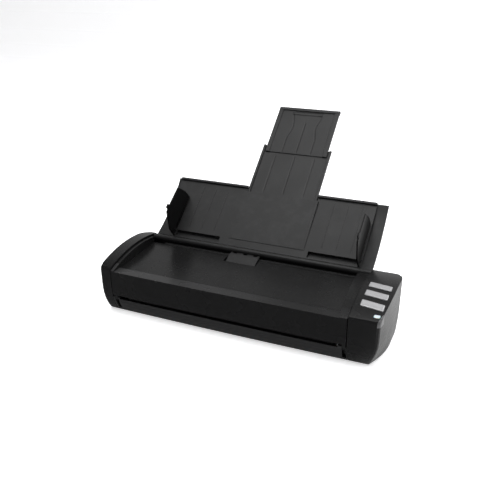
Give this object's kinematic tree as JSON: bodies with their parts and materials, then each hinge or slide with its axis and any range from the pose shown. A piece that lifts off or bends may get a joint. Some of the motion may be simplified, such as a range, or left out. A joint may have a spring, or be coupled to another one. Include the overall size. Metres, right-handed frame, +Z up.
{
  "type": "sheet fed document scanner",
  "caption": "Slim black sheet fed document scanner with a fold-back chute lid, a two-stage chute extension, hinged paper guides, an opening front cover and a button panel.",
  "frame": {"origin": "on the flat pad in the middle of the underside, 1.2 mm above the bottoms of the feet", "axes": "+X to the right along the body, +Y to the back, +Z up"},
  "size_m": [0.3038, 0.2454, 0.1875],
  "materials": {
    "gloss_black_plastic": "smooth glossy black moulding with faint scuffs",
    "satin_black_plastic": "satin black moulding with a fine spark-eroded grain",
    "matte_black_plastic": "plain matte black plastic",
    "extension_plastic": "dark grey matte plastic with a fine grain",
    "grey_trim": "grey trim",
    "button_silver": "silver painted plastic",
    "status_light": "milky light pipe",
    "white_plastic": "plain white background plate",
    "nylon": "natural nylon",
    "rubber": "ground rubber",
    "steel": "zinc plated or drawn steel",
    "circuit_board": "green solder mask",
    "sensor_glass": "clear float glass"
  },
  "bodies": {
    "base": {"base_shell": "satin_black_plastic", "left_end_cap": "gloss_black_plastic", "right_end_cap": "gloss_black_plastic", "lower_paper_guide": "satin_black_plastic", "left_side_frame": "steel", "right_side_frame": "steel", "feed_bush_left": "nylon", "feed_bush_right": "nylon", "image_sensor": "matte_black_plastic", "sensor_glass": "sensor_glass", "main_board": "circuit_board", "control_board": "circuit_board", "status_light": "status_light", "corner_trim": "grey_trim", "drive_motor": "steel", "data_socket": "steel", "power_socket": "matte_black_plastic", "foot_front_left": "rubber", "foot_front_right": "rubber", "foot_rear_left": "rubber", "foot_rear_right": "rubber", "bottom_screw_1": "steel", "bottom_screw_2": "steel", "chute_hinge_pin_left": "steel", "chute_hinge_pin_right": "steel", "cover_hinge_pin_left": "steel", "cover_hinge_pin_right": "steel"},
    "cover": {"front_cover": "gloss_black_plastic", "background_plate": "white_plastic", "separation_spring": "steel"},
    "separation_unit": {"separation_pad_holder": "satin_black_plastic", "separation_pad": "rubber"},
    "pinch_rollers": {"pinch_roller_axle": "steel", "pinch_roller_left": "nylon", "pinch_roller_right": "nylon"},
    "feed_roller": {"feed_shaft": "steel", "feed_tyre_left": "rubber", "feed_tyre_right": "rubber", "feed_gear": "nylon"},
    "exit_roller": {"exit_shaft": "steel", "exit_tyre_left": "rubber", "exit_tyre_right": "rubber", "exit_gear": "nylon"},
    "drive_gear": {"drive_gear": "nylon"},
    "motor_pinion": {"motor_pinion": "steel"},
    "chute": {"chute_lid": "satin_black_plastic", "chute_panel": "satin_black_plastic"},
    "extension_lower": {"extension_lower": "extension_plastic"},
    "extension_upper": {"extension_upper": "extension_plastic"},
    "left_guide": {"left_guide_slider": "satin_black_plastic"},
    "right_guide": {"right_guide_slider": "satin_black_plastic"},
    "left_fin": {"left_guide_fin": "gloss_black_plastic"},
    "right_fin": {"right_guide_fin": "gloss_black_plastic"},
    "guide_pinion": {"guide_pinion": "nylon"},
    "button_rear": {"button_rear": "button_silver"},
    "button_middle": {"button_middle": "button_silver"},
    "button_front": {"button_front": "button_silver"},
    "paper_sensor": {"paper_sensor_lever": "matte_black_plastic"}
  },
  "joints": [
    {"name": "chute_hinge", "type": "hinge", "parent": "base", "child": "chute", "pos_m": [0, 0.0455, 0.0553], "axis": [1, 0, 0], "range_deg": [0, 143]},
    {"name": "extension_lower_slide", "type": "slide", "parent": "chute", "child": "extension_lower", "axis": [0, -0.7547, -0.6561], "range_m": [0, 0.06]},
    {"name": "extension_upper_slide", "type": "slide", "parent": "extension_lower", "child": "extension_upper", "axis": [0, -0.7547, -0.6561], "range_m": [0, 0.0525]},
    {"name": "right_guide_slide", "type": "slide", "parent": "chute", "child": "right_guide", "axis": [1, 0, 0], "range_m": [-0.055, 0]},
    {"name": "left_guide_slide", "type": "slide", "parent": "chute", "child": "left_guide", "axis": [1, 0, 0], "range_m": [0, 0.055]},
    {"name": "guide_pinion_spin", "type": "hinge", "parent": "chute", "child": "guide_pinion", "pos_m": [-0.005, 0.0543, 0.05988], "axis": [0, -0.6302, 0.7765], "range_deg": [-1130, 10]},
    {"name": "right_fin_fold", "type": "hinge", "parent": "right_guide", "child": "right_fin", "pos_m": [0.104, 0.05167, 0.062], "axis": [0, -0.7765, -0.6302], "range_deg": [0, 91]},
    {"name": "left_fin_fold", "type": "hinge", "parent": "left_guide", "child": "left_fin", "pos_m": [-0.114, 0.05167, 0.062], "axis": [0, 0.7765, 0.6302], "range_deg": [0, 91]},
    {"name": "front_cover_hinge", "type": "hinge", "parent": "base", "child": "cover", "pos_m": [0, -0.033, 0.009], "axis": [-1, 0, 0], "range_deg": [-60, 0]},
    {"name": "separation_pad_tilt", "type": "hinge", "parent": "cover", "child": "separation_unit", "pos_m": [-0.02, 0.013, 0.043], "axis": [-1, 0, 0], "range_deg": [-2, 0], "stiffness_Nm_per_rad": 0.05},
    {"name": "pinch_roller_spin", "type": "hinge", "parent": "cover", "child": "pinch_rollers", "pos_m": [0, -0.0317, 0.0278], "axis": [1, 0, 0], "continuous": true},
    {"name": "feed_roller_spin", "type": "hinge", "parent": "base", "child": "feed_roller", "pos_m": [0, 0.02, 0.034], "axis": [1, 0, 0], "continuous": true},
    {"name": "exit_roller_spin", "type": "hinge", "parent": "base", "child": "exit_roller", "pos_m": [0, -0.028, 0.018], "axis": [1, 0, 0], "continuous": true},
    {"name": "drive_gear_spin", "type": "hinge", "parent": "base", "child": "drive_gear", "pos_m": [0.11, -0.0027, 0.0223], "axis": [1, 0, 0], "continuous": true},
    {"name": "motor_pinion_spin", "type": "hinge", "parent": "base", "child": "motor_pinion", "pos_m": [0.11, 0.0153, 0.0119], "axis": [1, 0, 0], "continuous": true},
    {"name": "paper_sensor_swing", "type": "hinge", "parent": "base", "child": "paper_sensor", "pos_m": [0.06, 0.032, 0.038], "axis": [1, 0, 0], "range_deg": [0, 30]},
    {"name": "button_rear_press", "type": "slide", "parent": "base", "child": "button_rear", "axis": [0, 0.0351, -0.9994], "range_m": [0, 0.0008], "stiffness_N_per_m": 300},
    {"name": "button_middle_press", "type": "slide", "parent": "base", "child": "button_middle", "axis": [0, 0.1292, -0.9916], "range_m": [0, 0.0008], "stiffness_N_per_m": 300},
    {"name": "button_front_press", "type": "slide", "parent": "base", "child": "button_front", "axis": [0, 0.225, -0.9744], "range_m": [0, 0.0008], "stiffness_N_per_m": 300}
  ],
  "couplings": [
    {"joint": "left_guide_slide", "follows": "right_guide_slide", "ratio": -1},
    {"joint": "guide_pinion_spin", "follows": "right_guide_slide", "rad_per_m": 357.14},
    {"joint": "right_fin_fold", "follows": "chute_hinge", "ratio": 0.62937},
    {"joint": "left_fin_fold", "follows": "chute_hinge", "ratio": 0.62937},
    {"joint": "exit_roller_spin", "follows": "feed_roller_spin", "ratio": 1},
    {"joint": "drive_gear_spin", "follows": "feed_roller_spin", "ratio": -0.6},
    {"joint": "motor_pinion_spin", "follows": "feed_roller_spin", "ratio": 2},
    {"joint": "pinch_roller_spin", "follows": "feed_roller_spin", "ratio": -1.5}
  ]
}
